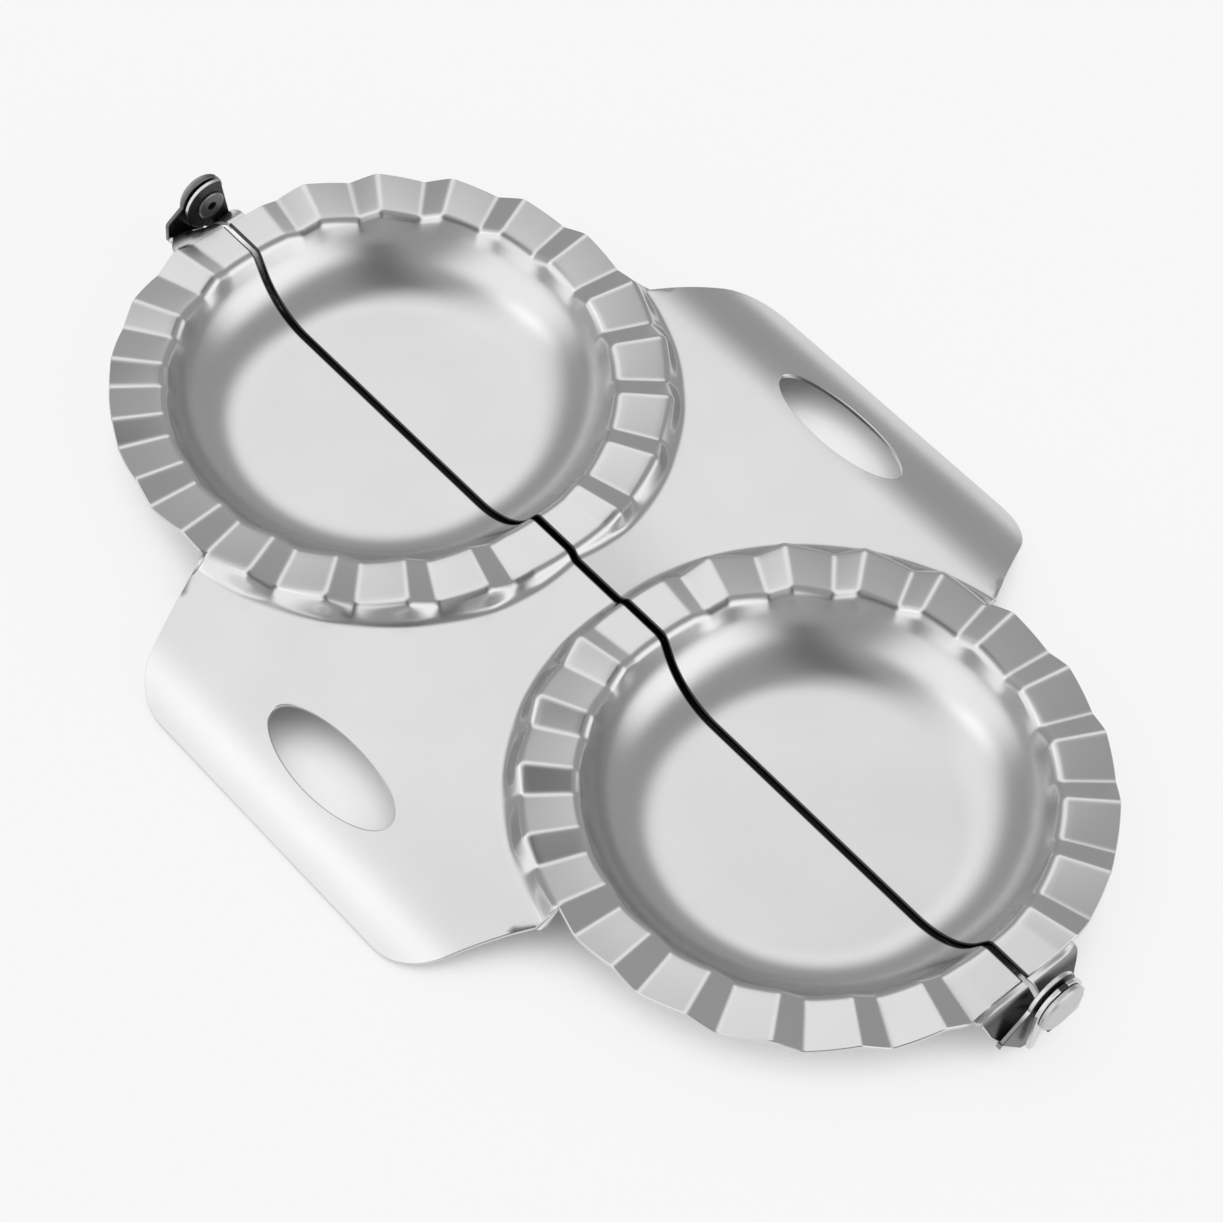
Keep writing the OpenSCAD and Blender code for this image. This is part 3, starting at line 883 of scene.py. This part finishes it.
def floor():
    """Plain white floor: it keeps the object's shadow, and looks white to the camera and in metal,
    apart from a strip of painted shadow under the parting line."""
    mesh = bpy.data.meshes.new("floor")
    half = 3
    corners = [(-half, -half, 0), (half, -half, 0), (half, half, 0), (-half, half, 0)]
    mesh.from_pydata(corners, [], [(0, 1, 2, 3)])
    plane = bpy.data.objects.new("floor", mesh)
    plane.location.z = -0.0002
    bpy.context.scene.collection.objects.link(plane)
    mat = bpy.data.materials.new("floor")
    mat.use_nodes = True
    tree = mat.node_tree
    shader = tree.nodes["Principled BSDF"]
    shader.inputs["Roughness"].default_value = 0.9
    shader.inputs["Specular IOR Level"].default_value = 0.0

    occlusion = tree.nodes.new("ShaderNodeAmbientOcclusion")
    occlusion.samples = 8
    occlusion.inputs["Distance"].default_value = SKY_REACH
    open_sky = occlusion.outputs["AO"]
    strip = painted_shadow_strip(tree, open_sky)
    wire(tree, shader.inputs["Base Color"], blend(tree, strip, FLOOR_TONE, STRIP_TONE))

    rays = tree.nodes.new("ShaderNodeLightPath").outputs
    seen = maths(tree, "MAXIMUM", rays["Is Camera Ray"], rays["Is Glossy Ray"])
    lit = maths(tree, "MULTIPLY", fade(tree, open_sky, *WHITE_FADE),
                maths(tree, "SUBTRACT", 1.0, strip))
    share = maths(tree, "MULTIPLY", maths(tree, "MULTIPLY", seen, lit), WHITE_SHARE)
    glow = tree.nodes.new("ShaderNodeEmission")
    glow.inputs["Color"].default_value = (1, 1, 1, 1)
    mix = tree.nodes.new("ShaderNodeMixShader")
    wire(tree, mix.inputs["Fac"], share)
    wire(tree, mix.inputs[1], shader.outputs["BSDF"])
    wire(tree, mix.inputs[2], glow.outputs["Emission"])
    wire(tree, tree.nodes["Material Output"].inputs["Surface"], mix.outputs["Shader"])
    plane.data.materials.append(mat)


def panel(tree, sky, direction, aim, half, edge, strength):
    """Brightness of a soft light panel far off in a direction, and 0 in the half of the sky
    opposite to it. Aim turns it about that direction."""
    ahead = Vector(direction).normalized()
    across = Vector((0, 0, 1)).cross(ahead).normalized()
    rise = ahead.cross(across)
    turned = Matrix.Rotation(math.radians(aim), 3, ahead)

    def along(axis):
        dot = tree.nodes.new("ShaderNodeVectorMath")
        dot.operation = "DOT_PRODUCT"
        dot.inputs[1].default_value = axis
        wire(tree, dot.inputs[0], sky)
        return dot.outputs["Value"]

    depth = maths(tree, "MAXIMUM", along(ahead), 0.05)
    level = maths(tree, "MULTIPLY", maths(tree, "GREATER_THAN", along(ahead), 0.06), strength)
    for axis, reach in ((turned @ across, half[0]), (turned @ rise, half[1])):
        offset = maths(tree, "ABSOLUTE", maths(tree, "DIVIDE", along(axis), depth))
        level = maths(tree, "MULTIPLY", level, fade(tree, offset, reach + edge, reach - edge))
    return level


# Level directions in the room: away from the camera, and to its right.
AWAY = Vector((0.7293, 0.6842, 0))
RIGHT = Vector((0.6842, -0.7293, 0))
UP = Vector((0, 0, 1))


def toward(right, away, up):
    """A direction in the room as the camera sees it."""
    return RIGHT * right + AWAY * away + UP * up


PANELS = (
    # direction, turn about it, half sizes, soft edge, strength: the last one is a dark screen
    (toward(-0.80, -0.50, 0.30), 0, (0.60, 0.80), 0.3, 0.80),
    (toward(0.90, -0.36, 0.26), 0, (0.58, 0.52), 0.28, 0.92),
    (toward(-0.30, 0.38, 0.88), 8, (0.80, 0.32), 0.26, 0.74),
    (toward(0.19, -0.52, 0.83), 0, (0.16, 0.70), 0.14, -0.26),
)
ROOM_LIGHT = 0.39


def lights():
    """A grey room with soft white panels."""
    world = bpy.data.worlds.new("studio")
    bpy.context.scene.world = world
    world.use_nodes = True
    tree = world.node_tree
    sky = tree.nodes.new("ShaderNodeTexCoord").outputs["Generated"]
    total = ROOM_LIGHT
    for spec in PANELS:
        total = maths(tree, "ADD", total, panel(tree, sky, *spec))
    back = tree.nodes["Background"]
    back.inputs["Color"].default_value = (1, 1, 1, 1)
    wire(tree, back.inputs["Strength"], total)


CAMERA_AZ = math.radians(-136.787)
CAMERA_EL = math.radians(53.284)
CAMERA_ROLL = math.radians(6.499)
CAMERA_DIST = 548.951
CAMERA_AIM = Vector((-3.016, -6.628, REST_H))
FRAME_W = 1223
FOCAL_PX = 3493.5


def camera():
    """The photograph's camera, aimed at a point beside the middle of the press."""
    back = Vector((math.cos(CAMERA_EL) * math.cos(CAMERA_AZ),
                   math.cos(CAMERA_EL) * math.sin(CAMERA_AZ),
                   math.sin(CAMERA_EL)))
    right = (-back).cross(Vector((0, 0, 1))).normalized()
    up = right.cross(-back)
    x_axis = right * math.cos(CAMERA_ROLL) + up * math.sin(CAMERA_ROLL)
    y_axis = up * math.cos(CAMERA_ROLL) - right * math.sin(CAMERA_ROLL)
    data = bpy.data.cameras.new("camera")
    data.sensor_fit = "HORIZONTAL"
    data.sensor_width = 36
    data.lens = 36 * FOCAL_PX / FRAME_W
    data.clip_start = 0.01
    obj = bpy.data.objects.new("camera", data)
    turn = Matrix((x_axis, y_axis, back)).transposed()
    obj.matrix_world = Matrix.Translation((CAMERA_AIM + back * CAMERA_DIST) * MM) @ turn.to_4x4()
    bpy.context.scene.collection.objects.link(obj)
    bpy.context.scene.camera = obj


# ---------------------------------------------------------------------------------------------
# Assembly
# ---------------------------------------------------------------------------------------------

def plate_sheet():
    """Top surface of one plate without its ears."""
    sheet = Sheet()
    foot_rear = half_bowl(sheet, 1)
    foot_front = half_bowl(sheet, -1)
    flange(sheet, foot_rear, foot_front)
    return sheet


def dress(piece, side, material):
    """Gives a new piece of a plate its material and its place in the model."""
    piece.data.materials.append(material)
    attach(piece, side)
    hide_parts(side + "_plate")


def build():
    """Both plates with their ears, and the steel of the rivets and washers."""
    sheet_steel = steel("sheet_steel", 0.7, 0.24, parting_slit_shade)
    # The ears' steel, with painted shade on faces that look to the front and on the wide ear's web.
    front_steel = steel("front_ear_shaded_steel", 0.72, 0.28, front_face_shade, 0.1)
    # The rear roll's steel, with painted shade on faces that look along the hinge.
    rear_steel = steel("rear_ear_shaded_steel", 0.7, 0.28, rear_roll_shade, 0.15)
    # Painted shade: a near-black copy of the sheet steel for the rear outer ear plate.
    lug_steel = steel("rear_lug_shaded_steel", 0.17, 0.3)
    surface = thicken(plate_sheet())
    for side, turn, ears in (("right", 0.0, right_ears()), ("left", math.pi, left_ears())):
        inner, outer = ears
        roll_steel = front_steel if side == "right" else rear_steel
        face_steel = sheet_steel if side == "right" else lug_steel
        dress(mesh_object(side + "_pressing", [surface], turn, PRESSING_SHARP), side, sheet_steel)
        dress(mesh_object(side + "_inner_ear", inner, turn, EAR_SHARP), side, front_steel)
        dress(mesh_object(side + "_outer_ear", [outer[0]], turn, EAR_SHARP), side, face_steel)
        dress(mesh_object(side + "_outer_roll", [outer[1]], turn, EAR_SHARP), side, roll_steel)
    # Painted shade: the rear rivet gets a darker copy of the rivet steel, and the washers a
    # near-black steel.
    small_steels = {
        "front_rivet": steel("rivet_steel", 0.6, 0.34),
        "rear_rivet": steel("rear_rivet_shaded_steel", 0.3, 0.36),
    }
    washer_shaded_steel = steel("washer_shaded_steel", 0.12, 0.4)
    for name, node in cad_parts.items():
        if "rivet" in name or "washer" in name:
            node.data.materials.clear()
            node.data.materials.append(small_steels.get(name, washer_shaded_steel))


build()
floor()
lights()
camera()
scene = bpy.context.scene
scene.view_settings.view_transform = "Standard"
